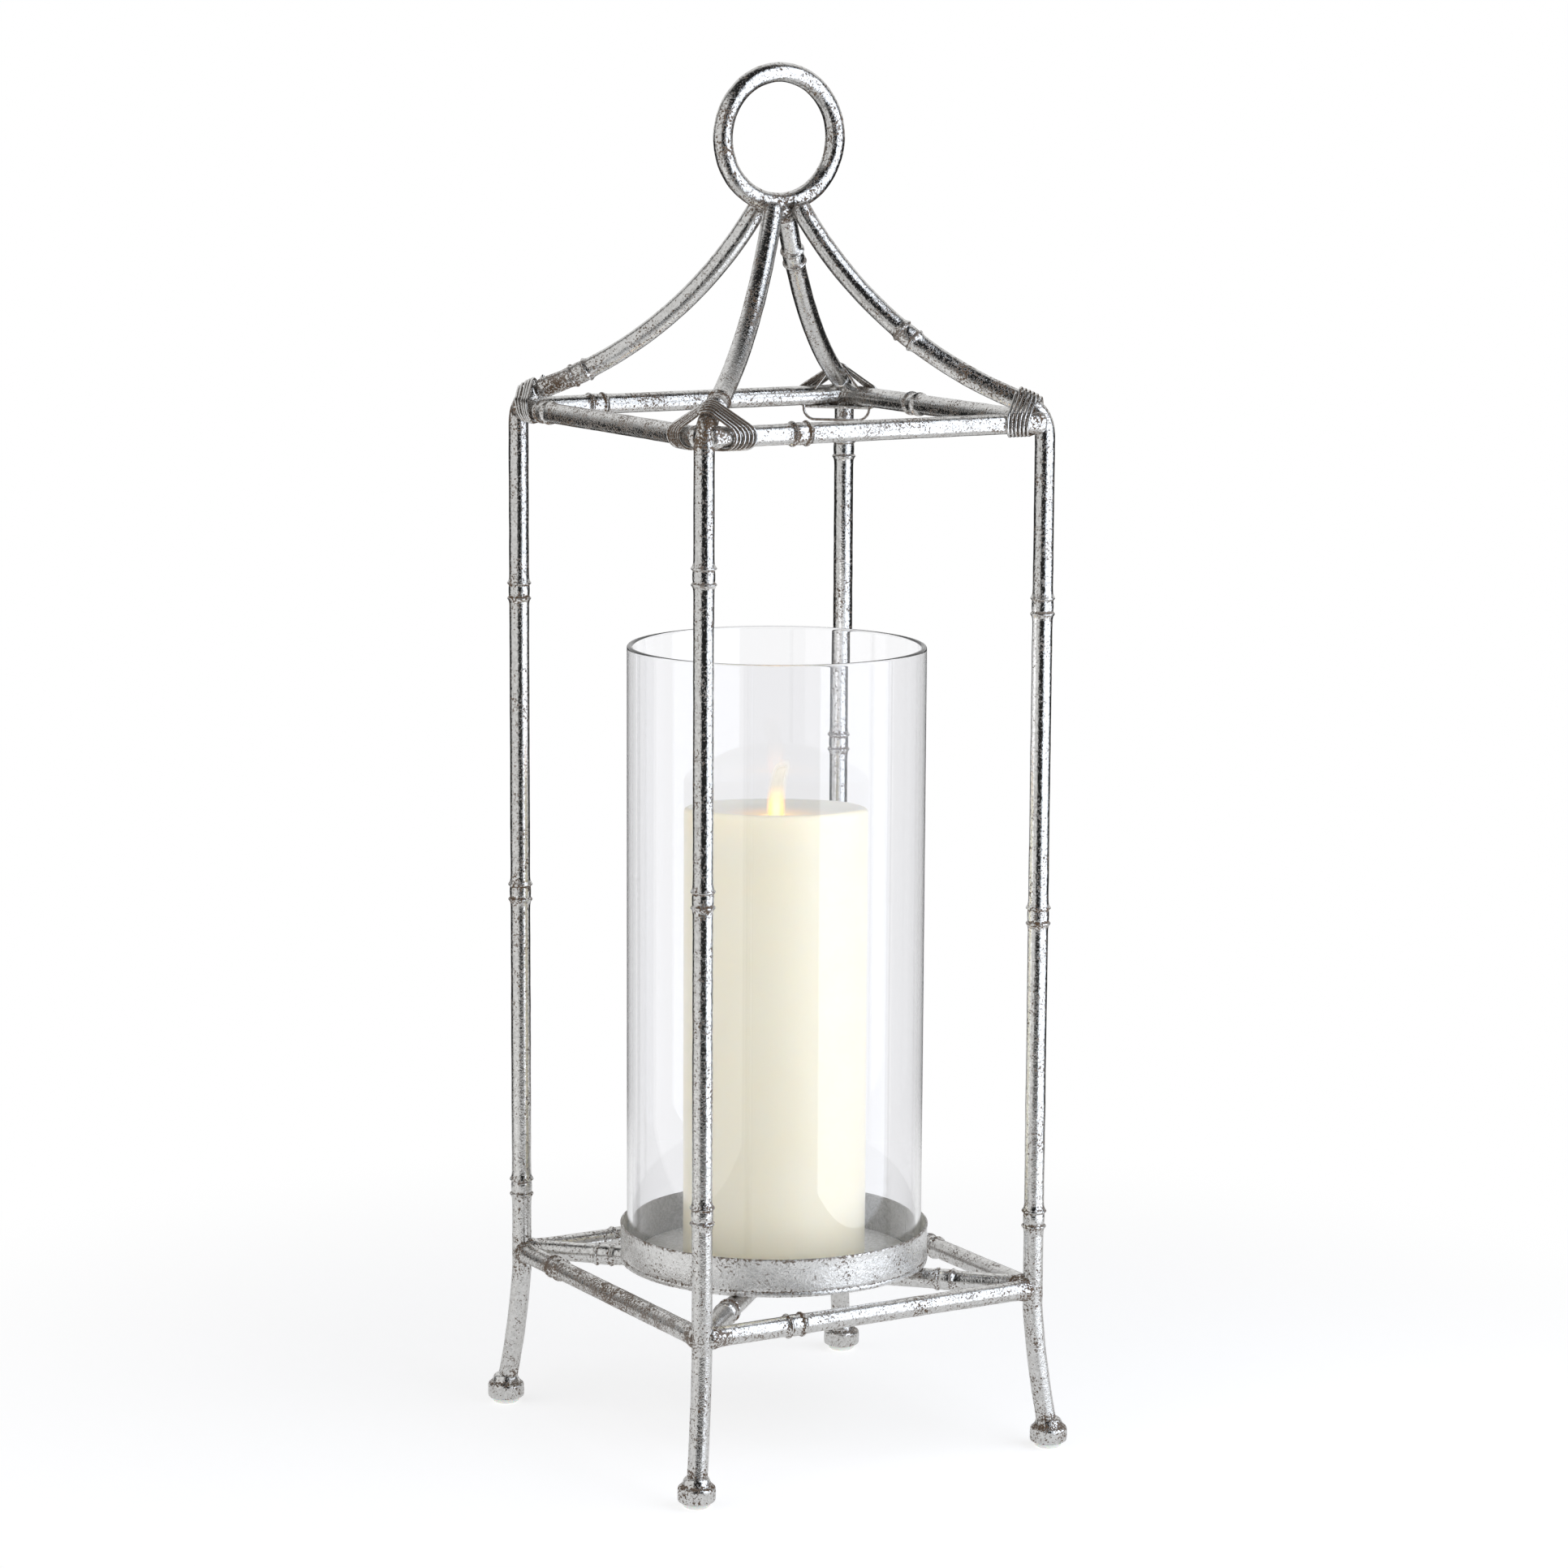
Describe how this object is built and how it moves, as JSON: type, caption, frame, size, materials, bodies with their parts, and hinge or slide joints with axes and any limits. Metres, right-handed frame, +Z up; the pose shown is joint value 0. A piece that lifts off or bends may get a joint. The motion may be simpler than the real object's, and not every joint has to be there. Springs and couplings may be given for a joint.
{
  "type": "hurricane candle lantern",
  "caption": "Square bamboo-look iron lantern with a pagoda roof and hanging ring, holding an open glass cylinder and a battery pillar candle with a swaying flame.",
  "frame": {"origin": "middle of the footprint, on the surface that the four bumpers stand on", "axes": "+Z up through the middle of the ring, +X along the front-right rails, which is also the direction of the ring's plane, +Y from the front-right side to the back-left side"},
  "size_m": [0.212, 0.212, 0.6605],
  "materials": {
    "antique_silver": "antiqued silver leaf over cast iron, brown patina in the hollows",
    "tray_silver": "antiqued silver leaf over sheet iron",
    "tie_wire": "soft iron tie wire, silvered",
    "bumper_rubber": "clear soft bumper",
    "clear_glass": "clear, fire-polished rim",
    "ivory_wax": "ivory paraffin wax",
    "white_plastic": "moulded",
    "black_plastic": "moulded",
    "battery_jacket": "printed film jacket, plain",
    "contact_metal": "stamped spring strip",
    "board_green": "solder mask",
    "wire_red": "insulated",
    "plated_steel": "nickel plated",
    "copper_wire": "enamelled winding",
    "lamp_lens": "clear warm",
    "flame_film": "translucent"
  },
  "bodies": {
    "frame": {"post_front": "antique_silver", "post_right": "antique_silver", "post_back": "antique_silver", "post_left": "antique_silver", "roof_rib_front": "antique_silver", "roof_rib_right": "antique_silver", "roof_rib_back": "antique_silver", "roof_rib_left": "antique_silver", "top_rail_front_right": "antique_silver", "top_rail_back_right": "antique_silver", "top_rail_back_left": "antique_silver", "top_rail_front_left": "antique_silver", "bottom_rail_front_right": "antique_silver", "bottom_rail_back_right": "antique_silver", "bottom_rail_back_left": "antique_silver", "bottom_rail_front_left": "antique_silver", "leg_front": "antique_silver", "leg_right": "antique_silver", "leg_back": "antique_silver", "leg_left": "antique_silver", "foot_bumper_front": "bumper_rubber", "foot_bumper_right": "bumper_rubber", "foot_bumper_back": "bumper_rubber", "foot_bumper_left": "bumper_rubber", "tie_wire_front": "tie_wire", "tie_wire_right": "tie_wire", "tie_wire_back": "tie_wire", "tie_wire_left": "tie_wire", "cross_brace_long": "antique_silver", "cross_brace_front": "antique_silver", "cross_brace_back": "antique_silver", "hanging_ring": "antique_silver", "tray_rim": "tray_silver", "tray_floor": "tray_silver"},
    "glass": {"glass_cylinder": "clear_glass"},
    "candle": {"wax_shell": "ivory_wax", "inner_sleeve": "white_plastic", "base_plate": "white_plastic", "battery_box": "black_plastic", "battery_cells": "battery_jacket", "contact_leaves": "contact_metal", "circuit_board": "board_green", "board_components": "black_plastic", "lead_wires": "wire_red", "switch_body": "black_plastic", "top_plate": "white_plastic", "mechanism_tube": "white_plastic", "housing_screws": "plated_steel", "pivot_wire": "plated_steel", "coil_holder": "white_plastic", "drive_coil": "copper_wire", "led": "lamp_lens", "led_holder": "white_plastic"},
    "flame": {"flame_blade": "flame_film", "flame_magnet": "plated_steel"},
    "battery_cover": {"battery_cover": "white_plastic", "contact_ring": "contact_metal"},
    "switch": {"switch_slider": "black_plastic"}
  },
  "joints": [
    {"name": "glass_lift", "type": "slide", "parent": "frame", "child": "glass", "axis": [0, 0, 1], "range_m": [0, 0.13]},
    {"name": "candle_lift", "type": "slide", "parent": "frame", "child": "candle", "axis": [0, 0, 1], "range_m": [0, 0.22]},
    {"name": "flame_sway", "type": "hinge", "parent": "candle", "child": "flame", "pos_m": [0, 0, 0.2855], "axis": [0, 1, 0], "range_deg": [-9, 9]},
    {"name": "battery_cover_twist", "type": "hinge", "parent": "candle", "child": "battery_cover", "pos_m": [0, 0, 0.0855], "axis": [0, 0, 1], "range_deg": [0, 30]},
    {"name": "switch_slide", "type": "slide", "parent": "candle", "child": "switch", "axis": [1, 0, 0], "range_m": [0, 0.004]}
  ]
}
